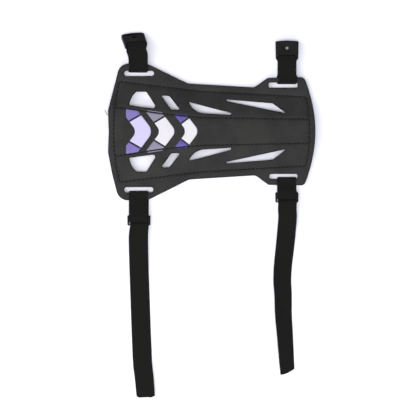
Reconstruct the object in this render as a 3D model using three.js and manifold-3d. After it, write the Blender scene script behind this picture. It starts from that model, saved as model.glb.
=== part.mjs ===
// Archery arm guard lying on a table: a folded, vented forearm panel with chevron inlays,
// two short elastic straps with buckles and two long elastic straps with sliders.
// Millimetres, +Z up. x runs from the elbow end to the wrist end, y across the forearm.
import * as THREE from "three";
import { mergeVertices } from "three/addons/utils/BufferGeometryUtils.js";
import Module from "manifold-3d";

const wasm = await Module();
wasm.setup();

const gap = 0.3; // clearance between neighbouring pieces
const snug = 0.2; // clearance inside a threaded slider or buckle
const overcut = 1; // how far a cutter runs past the face it opens
const weld = 1e-4; // points nearer than this are one point
const arcStep = Math.PI / 12; // longest turn of one arc facet

// Elastic webbing
const strapWidth = 15.5;
const strapThick = 1.1;
const strapHalf = strapThick / 2;
const layerShift = 0.4; // the two layers of a loop lie this far off line, one to each side
// Bend radii of the webbing's middle line: round a slider bar, in a panel slot, round the
// buckle's bar, where it climbs onto a second layer, where it leaves a bar, where it runs free.
const bend = { slider: 0.75, slot: 0.9, bar: 0.8, climb: 1, leave: 1.4, free: 3 };
const level = { over: 1.2, under: 1.8 }; // how far past a tab the webbing stays level
const barLead = 1.4; // how far before the buckle's bar the webbing lines up with its top
const barLeave = 1; // where along the bar's underside the webbing leaves it
const sliderLead = 0.9; // how far before the slider's first bar the webbing is level

// Forearm panel
const panelLength = 175.8;
const panelThick = 3;
const footHeight = strapThick + gap; // the borders lie on the straps that pass under them
const crownHeight = 6; // underside of the flat centre strip
const crownTop = crownHeight + panelThick;
const borderTop = footHeight + panelThick;
const seamWidth = 1.4;
const seamDepth = 0.6;
const blankReach = 70; // half-width of the uncut blank
const wristArc = { radius: 118.4, half: 0.36, facets: 6 }; // half-angle in radians, facets each side
const elbowTab = 57.8; // half-width over the elbow tabs
const wristTab = 45.7; // half-width over the wrist tabs

// Fold lines along the panel: half-widths of the flat centre strip and of the raised part.
const folds = [
  { x: -2, centre: 22.2, raised: 44.2 },
  { x: 45, centre: 15.1, raised: 38.4 },
  { x: 78, centre: 11.9, raised: 34.3 },
  { x: 178, centre: 10.1, raised: 28.7 },
];

// Both halves of the outline, from the elbow end to the wrist end: corner and its radius.
// The soft lower tabs lie spread a little further than the upper ones.
const upperCorners = [
  { x: 0, y: 17.5, r: 5 },
  { x: 10, y: elbowTab + 0.2, r: 9.5 },
  { x: 33, y: elbowTab + 0.1, r: 13 },
  { x: 67.5, y: 40.9, r: 10 },
  { x: 124.2, y: 37.4, r: 6 },
  { x: 135.6, y: wristTab - 0.2, r: 4 },
  { x: 166.5, y: wristTab + 0.4, r: 4.4 },
];
const lowerCorners = [
  { x: 0, y: -17.5, r: 5 },
  { x: 3.5, y: -36.8, r: 60 },
  { x: 9, y: -elbowTab - 0.5, r: 9.5 },
  { x: 33.4, y: -elbowTab - 0.4, r: 13 },
  { x: 68.6, y: -40.7, r: 10 },
  { x: 125.2, y: -37.3, r: 6 },
  { x: 136, y: 0.3 - wristTab, r: 4 },
  { x: 166.5, y: -wristTab - 0.2, r: 3.6 },
];
const elbowDip = { x: 0.7, y: 0, r: 20 }; // the elbow end is slightly hollow at the middle

// Strap slots: centre, size and corner radius. Short straps use the upper ones, long straps the lower.
const slots = {
  elbow: {
    upper: { x: 26.2, y: 49.55, length: 25.6, width: 4.5, r: 2.2 },
    lower: { x: 25.8, y: -49.35, length: 24.8, width: 4.5, r: 2.2 },
  },
  wrist: {
    upper: { x: 148.7, y: 39.4, length: 24.6, width: 4.5, r: 1.3 },
    lower: { x: 148.85, y: -38.3, length: 23.9, width: 4.3, r: 1.4 },
  },
};

// Vents of the upper side strip: corners with their radii, mirrored for the lower strip.
const vents = {
  elbowVent: [
    { x: 17.9, y: 22.3, r: 0.8 },
    { x: 19.5, y: 29.1, r: 15 },
    { x: 23.9, y: 34, r: 2 },
    { x: 32.3, y: 34, r: 0.8 },
    { x: 42, y: 19.1, r: 2 },
  ],
  slantVent: [
    { x: 44.9, y: 30.7, r: 0.8 },
    { x: 51.9, y: 30.4, r: 2.5 },
    { x: 61.2, y: 18.3, r: 0.8 },
    { x: 53.6, y: 18.5, r: 2.5 },
  ],
  leafVent: [
    { x: 68.3, y: 25.1, r: 0.5 },
    { x: 104.4, y: 15.6, r: 0.6 },
    { x: 104.4, y: 13.9, r: 0.6 },
    { x: 72.6, y: 15.9, r: 15 },
  ],
  spikeVent: [
    { x: 100.6, y: 27.2, r: 0.6 },
    { x: 139.7, y: 23.85, r: 1 },
    { x: 151.6, y: 15.1, r: 0.45 },
    { x: 100.6, y: 25.85, r: 0.6 },
  ],
};

// End seams, from the centre line to the outer seam.
const elbowSeam = [
  { x: 4.9, y: 0 },
  { x: 5.4, y: 14.9 },
  { x: 6.7, y: 27.4 },
  { x: 9.6, y: 42.8 },
];
const wristSeam = [
  { x: 170.9, y: 0 },
  { x: 170.6, y: 11 },
  { x: 169.8, y: 20.5 },
  { x: 168.3, y: 29.3 },
];
// Seams along the fold lines, from end seam to end seam.
const foldSeams = [
  { fold: "centre", from: 6, to: 170.4 },
  { fold: "raised", from: 9.6, to: 168.3 },
];

// Chevrons: where the outer and inner arm lines meet the centre line, radius of the outer tip, where
// the bar between centre and end segments crosses each arm, and how near the elbow the ends may come.
const chevrons = [
  { outer: 38.6, inner: 24.5, tip: 8.8, barInner: 8.6, barOuter: 14.2, cap: 15.3 },
  { outer: 57.9, inner: 44.8, tip: 6.5, barInner: 7.5, barOuter: 12.9, cap: 30 },
  { outer: 77.4, inner: 66.8, tip: 6.5, barInner: 6.5, barOuter: 11.6, cap: 50 },
];
const armLean = 0.76; // how far an arm falls back for each millimetre across
const armNormal = Math.hypot(1, armLean);
const innerTip = 6.5; // radius of the inner tip
const barHalf = 0.7;
const inlayThick = 0.7;
const inlaySunk = 0.2; // inlay face below the panel face
const inlayMargin = 1.3; // inlay end to the fold line
const fieldReach = { ahead: 5, across: 40 }; // room that a chevron's end segment is cut from

// Buckle: a flat sleeve with a strap bar at its near end. y runs away from the strap.
const buckle = { width: 19.5, length: 16, height: 4.2, neck: 18.9 };
const buckleRound = { neck: 0.9, mouth: 0.5, bow: 56 };
const buckleBow = 0.7; // the mouth end bulges this far past and behind its mean line
const buckleBar = { length: 2, low: 1.3, high: 2.9 };
const buckleSlot = { half: 8.4, far: 3.9 };
const sleeve = { low: 1.2, high: 3 };
const buckleHole = { y: 9.6, radius: 1.45, sides: 16 };
const buckleLip = { width: 1, height: 0.4 };
const mouldBevel = 0.35;

// Slider: three bars, two slots that each take two layers of webbing.
const sliderBar = 1.05;
const sliderSlot = 2 * strapThick + 3 * snug;
const slider = { width: 19.6, height: 2, half: 8.2, length: 3 * sliderBar + 2 * sliderSlot };
const sliderRound = 1.2;

// Short straps: place along the panel, distance from the tab edge to the buckle, height and
// posture of the buckle in degrees, and the stretch over which the strap turns to it.
const shortStraps = {
  elbow: { x: 25.4, reach: 12.2, height: 12.7, pitch: -46, yaw: 6.5, roll: -13.5, ramp: 6 },
  wrist: { x: 152, reach: 15.2, height: 3.4, pitch: 0, yaw: 0, roll: 0, ramp: 9 },
};

// Long straps: place along the panel, distance from the tab edge to the slider, side to which the
// strand lies off line, final roll in degrees and where it begins, slant of the cut end.
const longStraps = {
  elbow: { x: 25.9, reach: 13.2, side: 1, roll: -16, rollStart: 128, slant: 0 },
  wrist: { x: 151.7, reach: 6, side: -1, roll: 38, rollStart: 36, slant: 0.2 },
};
const tailLift = 0.05; // keeps the low edge of the rolled tail clear of the table
// Route of each free tail past its slider: distance from the tab edge, drift towards the wrist
// end, and height of its lower edge over the table.
const tails = {
  elbow: [
    { u: 32, drift: -0.3, lift: 3.9 },
    { u: 50, drift: -0.1, lift: 1.8 },
    { u: 66, drift: 0.3, lift: 0.5 },
    { u: 84, drift: 0.9, lift: 0 },
    { u: 105, drift: 1.7, lift: 0 },
    { u: 125, drift: 2.5, lift: 0 },
    { u: 141, drift: 3.4, lift: 0 },
    { u: 152, drift: 4.7, lift: 0.2 },
    { u: 167, drift: 6, lift: 0.6 },
  ],
  wrist: [
    { u: 26, drift: 0.1, lift: 4 },
    { u: 40, drift: -0.9, lift: 2.2 },
    { u: 56, drift: -2.5, lift: 0.6 },
    { u: 70, drift: -4, lift: tailLift },
    { u: 82, drift: -4.5, lift: tailLift },
    { u: 92, drift: -3.9, lift: tailLift },
    { u: 110, drift: -3.6, lift: tailLift },
    { u: 129, drift: -2.3, lift: tailLift },
    { u: 147, drift: -1.2, lift: tailLift },
    { u: 158.5, drift: -0.4, lift: tailLift },
  ],
};
const tailStep = 4.5;

const finish = (color, roughness) => new THREE.MeshStandardMaterial({ color, roughness });
const panelBlack = finish("#383838", 0.75);
const elasticBlack = finish("#20201f", 0.9);
const mouldedBlack = finish("#1e1e1d", 0.45);
const chevronCentres = [finish("#ddd6fe", 0.6), finish("#f2eff6", 0.6), finish("#f0f0f7", 0.6)];
const chevronEnds = [finish("#887dc0", 0.6), finish("#9693ac", 0.6), finish("#645eaf", 0.6)];

// Points of a polygon or path whose corners are rounded to their own radii.
function roundCorners(corners, closed = true) {
  const points = [];
  const count = corners.length;
  corners.forEach((corner, i) => {
    const here = new THREE.Vector2(corner.x, corner.y);
    const atEnd = !closed && (i === 0 || i === count - 1);
    if (atEnd || !corner.r) {
      points.push(here);
      return;
    }
    const last = corners[(i + count - 1) % count];
    const next = corners[(i + 1) % count];
    const back = new THREE.Vector2(last.x, last.y).sub(here).normalize();
    const onward = new THREE.Vector2(next.x, next.y).sub(here).normalize();
    const half = Math.acos(THREE.MathUtils.clamp(back.dot(onward), -1, 1)) / 2;
    const sweep = Math.PI - 2 * half;
    const steps = Math.max(1, Math.ceil(sweep / arcStep));
    const middle = back.clone().add(onward).normalize();
    const centre = here.clone().addScaledVector(middle, corner.r / Math.sin(half));
    const start = here.clone().addScaledVector(back, corner.r / Math.tan(half));
    const side = Math.sign(onward.cross(back));
    for (let k = 0; k <= steps; k += 1) {
      points.push(start.clone().rotateAround(centre, (side * sweep * k) / steps));
    }
  });
  return points;
}

const mirrored = (points) => points.map((p) => ({ ...p, y: -p.y })).reverse();

// A flat outline raised between two heights, with its rims bevelled where bevel is given.
function prism(points, low, high, holes = [], bevel = 0) {
  const shape = new THREE.Shape(points.map((p) => new THREE.Vector2(p.x, p.y)));
  shape.holes = holes.map((hole) => new THREE.Path(hole));
  const geometry = new THREE.ExtrudeGeometry(shape, {
    depth: high - low - 2 * bevel,
    bevelEnabled: bevel > 0,
    bevelThickness: bevel,
    bevelSize: bevel,
    bevelOffset: -bevel,
    bevelSegments: 1,
  });
  return geometry.translate(0, 0, low + bevel);
}

function block(x0, x1, y0, y1, z0, z1) {
  const geometry = new THREE.BoxGeometry(x1 - x0, y1 - y0, z1 - z0);
  return geometry.translate((x0 + x1) / 2, (y0 + y1) / 2, (z0 + z1) / 2);
}

function toSolid(geometry) {
  const bare = geometry.clone();
  bare.deleteAttribute("normal");
  bare.deleteAttribute("uv");
  const merged = mergeVertices(bare, weld);
  const vertProperties = new Float32Array(merged.attributes.position.array);
  const triVerts = new Uint32Array(merged.index.array);
  return new wasm.Manifold(new wasm.Mesh({ numProp: 3, vertProperties, triVerts }));
}

function toGeometry(solid) {
  const mesh = solid.getMesh();
  const geometry = new THREE.BufferGeometry();
  geometry.setAttribute("position", new THREE.BufferAttribute(mesh.vertProperties, 3));
  geometry.setIndex(new THREE.BufferAttribute(mesh.triVerts, 1));
  geometry.computeVertexNormals();
  return geometry;
}

const cut = (solid, geometry) => solid.subtract(toSolid(geometry));

// A skin through matching rings of points, capped at both ends unless it closes on itself.
function loft(rings, closed = false) {
  const side = rings[0].length;
  const position = rings.flat().flatMap((p) => [p.x, p.y, p.z]);
  const index = [];
  const spans = closed ? rings.length : rings.length - 1;
  for (let i = 0; i < spans; i += 1) {
    const next = (i + 1) % rings.length;
    for (let j = 0; j < side; j += 1) {
      const a = i * side + j;
      const b = i * side + ((j + 1) % side);
      const c = next * side + ((j + 1) % side);
      const d = next * side + j;
      index.push(a, b, c, a, c, d);
    }
  }
  if (!closed) {
    const last = (rings.length - 1) * side;
    for (let j = 0; j < side / 2 - 1; j += 1) {
      const [a, b, c, d] = [j, j + 1, side - 2 - j, side - 1 - j];
      index.push(a, c, b, a, d, c);
      index.push(last + a, last + b, last + c, last + a, last + c, last + d);
    }
  }
  const geometry = new THREE.BufferGeometry();
  geometry.setAttribute("position", new THREE.Float32BufferAttribute(position, 3));
  geometry.setIndex(index);
  geometry.computeVertexNormals();
  return geometry;
}

// Folded sheet that fills the space from low to high above the panel's underside.
function foldedSheet(low, high) {
  const rings = folds.map(({ x, centre, raised }) => {
    const section = [
      [-blankReach, footHeight],
      [-raised, footHeight],
      [-centre, crownHeight],
      [centre, crownHeight],
      [raised, footHeight],
      [blankReach, footHeight],
    ];
    const under = section.map(([y, z]) => new THREE.Vector3(x, y, z + low));
    const over = section.map(([y, z]) => new THREE.Vector3(x, y, z + high)).reverse();
    return [...under, ...over];
  });
  return loft(rings);
}

// Half-width of a fold line at a place along the panel.
function foldAt(x, column) {
  const i = folds.findIndex((fold) => fold.x > x);
  const [before, after] = [folds[i - 1], folds[i]];
  const share = (x - before.x) / (after.x - before.x);
  return THREE.MathUtils.lerp(before[column], after[column], share);
}

// A strip of even width along an open line of points.
function ribbon(line, width) {
  const points = line.map((p) => new THREE.Vector2(p.x, p.y));
  const edges = points.map((p, i) => {
    const before = points[Math.max(i - 1, 0)];
    const after = points[Math.min(i + 1, points.length - 1)];
    const along = after.clone().sub(before).normalize();
    return new THREE.Vector2(-along.y, along.x).multiplyScalar(width / 2);
  });
  const left = points.map((p, i) => p.clone().add(edges[i]));
  const right = points.map((p, i) => p.clone().sub(edges[i])).reverse();
  return [...left, ...right];
}

function panelOutline() {
  const { radius, half, facets } = wristArc;
  const centre = panelLength - radius;
  const arc = [];
  for (let k = -facets; k <= facets; k += 1) {
    const angle = (half * k) / facets;
    arc.push({ x: centre + radius * Math.cos(angle), y: radius * Math.sin(angle) });
  }
  return roundCorners([...arc, ...upperCorners.slice().reverse(), elbowDip, ...lowerCorners]);
}

function slotOutline({ x, y, length, width, r }) {
  return roundCorners([
    { x: x - length / 2, y: y - width / 2, r },
    { x: x + length / 2, y: y - width / 2, r },
    { x: x + length / 2, y: y + width / 2, r },
    { x: x - length / 2, y: y + width / 2, r },
  ]);
}

function seamLines() {
  const lines = [];
  const ends = [elbowSeam, wristSeam];
  ends.forEach((seam) => lines.push([...mirrored(seam.slice(1)), ...seam]));
  for (const side of [1, -1]) {
    for (const { fold, from, to } of foldSeams) {
      const bends = folds.slice(1, -1).map((row) => row.x);
      const stops = [from, ...bends, to];
      lines.push(stops.map((x) => ({ x, y: side * foldAt(x, fold) })));
    }
  }
  return lines;
}

// Lines in the plane as a unit normal and a distance: points inside have normal . p <= distance.
const meet = (a, b) => {
  const det = a.nx * b.ny - a.ny * b.nx;
  const x = (a.d * b.ny - b.d * a.ny) / det;
  const y = (a.nx * b.d - b.nx * a.d) / det;
  return { x, y };
};
function lineThrough(p, q) {
  const length = Math.hypot(q.x - p.x, q.y - p.y);
  const nx = -(q.y - p.y) / length;
  const ny = (q.x - p.x) / length;
  return { nx, ny, d: nx * p.x + ny * p.y };
}
const moved = (line, by) => ({ ...line, d: line.d + by });
const turned = (line) => ({ nx: -line.nx, ny: -line.ny, d: -line.d });

function clip(polygon, line) {
  const over = (p) => line.nx * p.x + line.ny * p.y - line.d;
  return polygon.flatMap((p, i) => {
    const q = polygon[(i + 1) % polygon.length];
    const kept = over(p) <= 0 ? [p] : [];
    if (over(p) * over(q) < 0) {
      const share = over(p) / (over(p) - over(q));
      kept.push({ x: p.x + share * (q.x - p.x), y: p.y + share * (q.y - p.y) });
    }
    return kept;
  });
}

// Outlines of a chevron's three segments, each grown outwards by the given clearance.
function chevronOutlines({ outer, inner, tip, barInner, barOuter, cap }, grow) {
  const outerArm = { nx: 1 / armNormal, ny: armLean / armNormal, d: outer / armNormal };
  const innerArm = turned({ ...outerArm, d: inner / armNormal });
  const barStart = { x: inner - armLean * barInner, y: barInner };
  const barEnd = { x: outer - armLean * barOuter, y: barOuter };
  const bar = lineThrough(barStart, barEnd);
  const seamStart = { x: cap, y: foldAt(cap, "centre") };
  const seamEnd = { x: outer, y: foldAt(outer, "centre") };
  const seam = moved(lineThrough(seamStart, seamEnd), -inlayMargin);

  const nearBar = moved(bar, grow - barHalf);
  const outerEdge = moved(outerArm, grow);
  const innerEdge = moved(innerArm, grow);
  const a = meet(outerEdge, nearBar);
  const b = meet(innerEdge, nearBar);
  const centre = roundCorners([
    { x: a.x, y: -a.y },
    { x: outer + grow * armNormal, y: 0, r: tip + grow },
    { x: a.x, y: a.y },
    { x: b.x, y: b.y },
    { x: inner - grow * armNormal, y: 0, r: innerTip - grow },
    { x: b.x, y: -b.y },
  ]);

  const field = [
    { x: cap - grow, y: 0 },
    { x: outer + fieldReach.ahead, y: 0 },
    { x: outer + fieldReach.ahead, y: fieldReach.across },
    { x: cap - grow, y: fieldReach.across },
  ];
  const farBar = moved(turned(bar), grow - barHalf);
  const bounds = [outerEdge, innerEdge, farBar, moved(seam, grow)];
  const upper = bounds.reduce(clip, field);
  return { centre, upper, lower: mirrored(upper) };
}

function panelSolid() {
  const ventHoles = Object.values(vents).flatMap((v) => [roundCorners(v), roundCorners(mirrored(v))]);
  const slotHoles = Object.values(slots).flatMap((tab) => Object.values(tab).map(slotOutline));
  const plan = prism(panelOutline(), -overcut, crownTop + overcut, [...ventHoles, ...slotHoles]);
  let panel = toSolid(foldedSheet(0, panelThick)).intersect(toSolid(plan));
  const skin = toSolid(foldedSheet(panelThick - seamDepth, panelThick + overcut));
  for (const line of seamLines()) {
    const strip = toSolid(prism(ribbon(line, seamWidth), -overcut, crownTop + 2 * overcut));
    panel = panel.subtract(strip.intersect(skin));
  }
  const recessFloor = crownTop - inlaySunk - inlayThick - gap;
  for (const row of chevrons) {
    for (const outline of Object.values(chevronOutlines(row, gap))) {
      panel = cut(panel, prism(outline, recessFloor, crownTop + overcut));
    }
  }
  return panel;
}

function buckleSolid() {
  const { width, length, height, neck } = buckle;
  const shoulder = length - buckleBow;
  const outline = roundCorners([
    { x: -neck / 2, y: 0, r: buckleRound.neck },
    { x: neck / 2, y: 0, r: buckleRound.neck },
    { x: width / 2, y: shoulder, r: buckleRound.mouth },
    { x: 0, y: length + buckleBow, r: buckleRound.bow },
    { x: -width / 2, y: shoulder, r: buckleRound.mouth },
  ]);
  const { half, far } = buckleSlot;
  const rim = outline.filter((p) => p.y > shoulder && Math.abs(p.x) < half);
  const lipLine = rim.map((p) => ({ x: p.x, y: p.y - mouldBevel - buckleLip.width / 2 }));
  const lip = prism(ribbon(lipLine, buckleLip.width), height - gap, height + buckleLip.height);
  const above = height + overcut;
  const barEnd = buckleBar.length + overcut;
  let body = toSolid(prism(outline, 0, height, [], mouldBevel)).add(toSolid(lip));
  body = cut(body, block(-half, half, buckleBar.length, far, -overcut, above));
  body = cut(body, block(-half, half, far - overcut, length + 2 * overcut, sleeve.low, sleeve.high));
  body = cut(body, block(-half, half, -overcut, barEnd, buckleBar.high, above));
  body = cut(body, block(-half, half, -overcut, barEnd, -overcut, buckleBar.low));
  const { y, radius, sides } = buckleHole;
  const hole = new THREE.CylinderGeometry(radius, radius, height + 2 * overcut, sides);
  return cut(body, hole.rotateX(Math.PI / 2).translate(0, y, height / 2));
}

function sliderSolid() {
  const { width, length, height, half } = slider;
  const outline = roundCorners([
    { x: -width / 2, y: 0, r: sliderRound },
    { x: width / 2, y: 0, r: sliderRound },
    { x: width / 2, y: length, r: sliderRound },
    { x: -width / 2, y: length, r: sliderRound },
  ]);
  let body = toSolid(prism(outline, 0, height, [], mouldBevel));
  for (const near of [sliderBar, 2 * sliderBar + sliderSlot]) {
    body = cut(body, block(-half, half, near, near + sliderSlot, -overcut, height + overcut));
  }
  return body;
}

// Webbing swept through stations; y runs along the strap away from the panel.
// Each station has a place (x, y, z), a heading, a roll, the height it rolls about and its slope.
function band(stations, closed, slant = 0) {
  const up = new THREE.Vector3(0, 0, 1);
  const rings = stations.map((s, i) => {
    const right = new THREE.Vector3(Math.cos(s.heading), Math.sin(s.heading), 0);
    const ahead = new THREE.Vector3(-Math.sin(s.heading), Math.cos(s.heading), 0);
    const across = right.clone().applyAxisAngle(ahead, -s.roll);
    const above = up.clone().applyAxisAngle(ahead, -s.roll);
    const centre = new THREE.Vector3(s.x, s.y, s.pivot).addScaledVector(above, s.z - s.pivot);
    const along = ahead.clone().multiplyScalar(s.run).addScaledVector(above, s.rise).normalize();
    const normal = along.clone().cross(across);
    const skew = i === stations.length - 1 ? slant : 0;
    return [
      [1, 1],
      [-1, 1],
      [-1, -1],
      [1, -1],
    ].map(([w, t]) => {
      const corner = centre.clone().addScaledVector(across, (w * strapWidth) / 2);
      corner.addScaledVector(normal, t * strapHalf);
      return corner.addScaledVector(along, (w * skew * strapWidth) / 2);
    });
  });
  return loft(rings, closed);
}

// Run and rise at each point of a side path, from its neighbours.
function withSlope(path, closed) {
  const count = path.length;
  return path.map((p, i) => {
    const before = path[closed ? (i + count - 1) % count : Math.max(i - 1, 0)];
    const after = path[closed ? (i + 1) % count : Math.min(i + 1, count - 1)];
    const length = Math.hypot(after.x - before.x, after.y - before.y);
    return { u: p.x, z: p.y, run: (after.x - before.x) / length, rise: (after.y - before.y) / length };
  });
}

// Plan of a strap that turns by yaw over its ramp and then runs straight.
function bentPlan(u, yaw, ramp) {
  const share = THREE.MathUtils.clamp(u / ramp, 0, 1);
  const heading = yaw * share;
  if (!yaw || u <= 0) {
    return { x: 0, y: u, heading: 0, share };
  }
  const radius = ramp / yaw;
  const past = Math.max(u - ramp, 0);
  const x = -radius * (1 - Math.cos(heading)) - past * Math.sin(heading);
  const y = radius * Math.sin(heading) + past * Math.cos(heading);
  return { x, y, heading, share };
}

const group = new THREE.Group();
group.name = "archery_arm_guard";

function addPiece(name, geometry, material, parent = group) {
  const mesh = new THREE.Mesh(geometry, material);
  mesh.name = name;
  parent.add(mesh);
  return mesh;
}

addPiece("guard_panel", toGeometry(panelSolid()), panelBlack);

chevrons.forEach((row, i) => {
  const top = crownTop - inlaySunk;
  for (const [segment, outline] of Object.entries(chevronOutlines(row, 0))) {
    const material = segment === "centre" ? chevronCentres[i] : chevronEnds[i];
    addPiece(`chevron_${i + 1}_${segment}`, prism(outline, top - inlayThick, top), material);
  }
});

// Place where a strap passes a tab, and how far in from there the outer rim of its slot lies.
const tabEdges = { elbow: elbowTab, wrist: wristTab };
const borderAt = (end, side) => tabEdges[end] - Math.abs(slots[end][side].y) - slots[end][side].width / 2;
const underTab = strapHalf;
const overTab = borderTop + gap + strapHalf;

// Side path of a short strap: a closed loop round the tab's border and the buckle's bar.
function shortPath({ reach, height }, border, pitch) {
  const inSlot = -border - gap - strapHalf;
  const wrapTop = buckleBar.high + snug + strapHalf;
  const wrapLow = buckleBar.low - snug - strapHalf;
  const wrapFar = buckleBar.length + snug + strapHalf;
  const fromBuckle = (y, z, r) => ({
    x: reach + y * Math.cos(pitch) - z * Math.sin(pitch),
    y: height + y * Math.sin(pitch) + z * Math.cos(pitch),
    r,
  });
  return roundCorners([
    { x: inSlot, y: underTab, r: bend.slot },
    { x: inSlot, y: overTab, r: bend.slot },
    { x: level.over, y: overTab, r: bend.free },
    fromBuckle(-barLead, wrapTop, bend.leave),
    fromBuckle(wrapFar, wrapTop, bend.bar),
    fromBuckle(wrapFar, wrapLow, bend.bar),
    fromBuckle(barLeave, wrapLow, bend.bar),
    { x: level.under, y: underTab, r: bend.free },
  ]);
}

const buckleGeometry = toGeometry(buckleSolid());

for (const [end, row] of Object.entries(shortStraps)) {
  const pitch = THREE.MathUtils.degToRad(row.pitch);
  const yaw = THREE.MathUtils.degToRad(row.yaw);
  const roll = THREE.MathUtils.degToRad(row.roll);
  const stations = withSlope(shortPath(row, borderAt(end, "upper"), pitch), true).map((s) => {
    const { x, y, heading, share } = bentPlan(s.u, yaw, row.ramp);
    const shift = layerShift * s.run;
    return { ...s, x: x + shift, y, heading, roll: roll * share ** 2, pivot: row.height };
  });
  const holder = new THREE.Group();
  holder.position.set(row.x, tabEdges[end], 0);
  group.add(holder);
  addPiece(`short_strap_${end}`, band(stations, true), elasticBlack, holder);

  const seat = bentPlan(row.reach, yaw, row.ramp);
  const turn = new THREE.Group();
  turn.position.set(seat.x, seat.y, row.height);
  turn.rotation.set(0, -roll, yaw, "ZYX");
  holder.add(turn);
  const clasp = addPiece(`buckle_${end}`, buckleGeometry.clone(), mouldedBlack, turn);
  clasp.rotation.x = pitch;
}

// Heights of the layers at a slider, from the table up.
const layer = strapThick + snug;
const strandLow = strapHalf; // strand under the slider
const wrapLow = strandLow + layer; // sewn wrap under the middle bar
const sliderLow = wrapLow + strapHalf + snug;
const wrapTop = sliderLow + slider.height + snug + strapHalf;
const leadTop = wrapTop + layer; // sewn side over the strand at the first bar

// Side path of a long strap: its sewn end wraps the slider's middle bar, the lead goes over the
// tab's border and back through the slot, and the strand weaves through the slider.
function longPath(near, border) {
  const inSlot = -border - gap - strapHalf;
  const strandIn = near + sliderBar + snug + strapHalf;
  const wrapIn = strandIn + layer;
  const wrapOut = near + 2 * sliderBar + sliderSlot + snug + strapHalf;
  const strandOut = wrapOut + layer;
  const corners = [
    { x: wrapIn, y: wrapTop - layer },
    { x: wrapIn, y: wrapLow, r: bend.slider },
    { x: wrapOut, y: wrapLow, r: bend.slider },
    { x: wrapOut, y: wrapTop, r: bend.slider },
    { x: wrapIn + snug, y: wrapTop, r: bend.climb },
    { x: strandIn, y: leadTop, r: bend.climb },
    { x: near - sliderLead, y: leadTop, r: bend.climb },
    { x: level.over, y: overTab + snug, r: bend.free },
    { x: inSlot, y: overTab, r: bend.slot },
    { x: inSlot, y: underTab, r: bend.slot },
    { x: level.under, y: underTab, r: bend.free },
    { x: near - sliderLead, y: wrapTop, r: bend.leave },
    { x: strandIn, y: wrapTop, r: bend.slider },
    { x: strandIn, y: strandLow, r: bend.slider },
    { x: strandOut, y: strandLow, r: bend.slider },
    { x: strandOut, y: wrapTop, r: bend.slider },
    { x: near + slider.length + sliderLead, y: wrapTop },
  ];
  return roundCorners(corners, false);
}

// Stations of a free tail along its route, rolling to its final angle and cut at the route's end.
function tailStations(route, { side, roll: finalDegrees, rollStart }) {
  const curve = new THREE.CatmullRomCurve3(
    route.map((p) => new THREE.Vector3(p.u, p.drift, p.lift)),
  );
  const endU = route.at(-1).u;
  const finalRoll = THREE.MathUtils.degToRad(finalDegrees);
  const steps = Math.round((endU - route[0].u) / tailStep);
  const trail = curve.getSpacedPoints(steps).map((p) => {
    const share = THREE.MathUtils.clamp((p.x - rollStart) / (endU - rollStart), 0, 1);
    const roll = finalRoll * share;
    const raise = (strapWidth / 2) * Math.abs(Math.sin(roll)) + strapHalf * Math.cos(roll);
    return { u: p.x, drift: p.y, z: Math.max(p.z, 0) + raise, roll };
  });
  return trail.map((p, i) => {
    const before = trail[Math.max(i - 1, 0)];
    const after = trail[Math.min(i + 1, trail.length - 1)];
    const heading = Math.atan2(after.drift - before.drift, after.u - before.u);
    const run = Math.hypot(after.u - before.u, after.drift - before.drift);
    const place = { x: side * layerShift - p.drift, y: p.u, z: p.z, pivot: p.z };
    return { ...place, heading, roll: p.roll, run, rise: after.z - before.z };
  });
}

const sliderGeometry = toGeometry(sliderSolid());

for (const [end, row] of Object.entries(longStraps)) {
  const looped = withSlope(longPath(row.reach, borderAt(end, "lower")), false).map((s) => ({
    ...s,
    x: row.side * layerShift * s.run,
    y: s.u,
    heading: 0,
    roll: 0,
    pivot: s.z,
  }));
  const start = looped.pop();
  const route = [{ u: start.u, drift: 0, lift: start.z - strapHalf }, ...tails[end]];
  const stations = [...looped, ...tailStations(route, row)];
  const holder = new THREE.Group();
  holder.position.set(row.x, -tabEdges[end], 0);
  holder.rotation.z = Math.PI;
  group.add(holder);
  addPiece(`long_strap_${end}`, band(stations, false, row.slant), elasticBlack, holder);
  const bars = addPiece(`slider_${end}`, sliderGeometry.clone(), mouldedBlack, holder);
  bars.position.set(0, row.reach, sliderLow);
}

// The frame's origin is the middle of the footprint, on the table.
group.updateMatrixWorld(true);
const box = new THREE.Box3().setFromObject(group, true);
const centre = box.getCenter(new THREE.Vector3());
group.children.forEach((child) => {
  child.position.x -= centre.x;
  child.position.y -= centre.y;
  child.position.z -= box.min.z;
});

export default group;
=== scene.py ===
import math

import bmesh
import bpy
import numpy as np
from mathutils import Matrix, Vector, kdtree, noise
from mathutils.geometry import delaunay_2d_cdt


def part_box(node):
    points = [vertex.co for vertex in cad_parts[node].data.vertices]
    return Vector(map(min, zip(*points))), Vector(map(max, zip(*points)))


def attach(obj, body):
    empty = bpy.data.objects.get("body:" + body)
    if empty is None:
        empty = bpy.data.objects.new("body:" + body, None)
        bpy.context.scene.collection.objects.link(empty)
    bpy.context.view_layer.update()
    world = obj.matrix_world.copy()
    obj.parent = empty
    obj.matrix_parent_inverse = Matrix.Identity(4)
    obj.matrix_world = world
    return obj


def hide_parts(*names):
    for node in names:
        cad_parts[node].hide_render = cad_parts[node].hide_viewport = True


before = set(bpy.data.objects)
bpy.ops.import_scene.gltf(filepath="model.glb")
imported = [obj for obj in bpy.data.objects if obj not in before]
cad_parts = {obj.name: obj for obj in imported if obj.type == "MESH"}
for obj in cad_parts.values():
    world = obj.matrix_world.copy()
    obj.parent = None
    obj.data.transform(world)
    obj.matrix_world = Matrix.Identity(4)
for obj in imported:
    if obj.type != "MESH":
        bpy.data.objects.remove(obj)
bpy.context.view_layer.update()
mm = 0.001  # shapes are worked out in millimetres and stored in metres
print("frame loaded:", len(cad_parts), "nodes")


# Small tools for shaders

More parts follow.
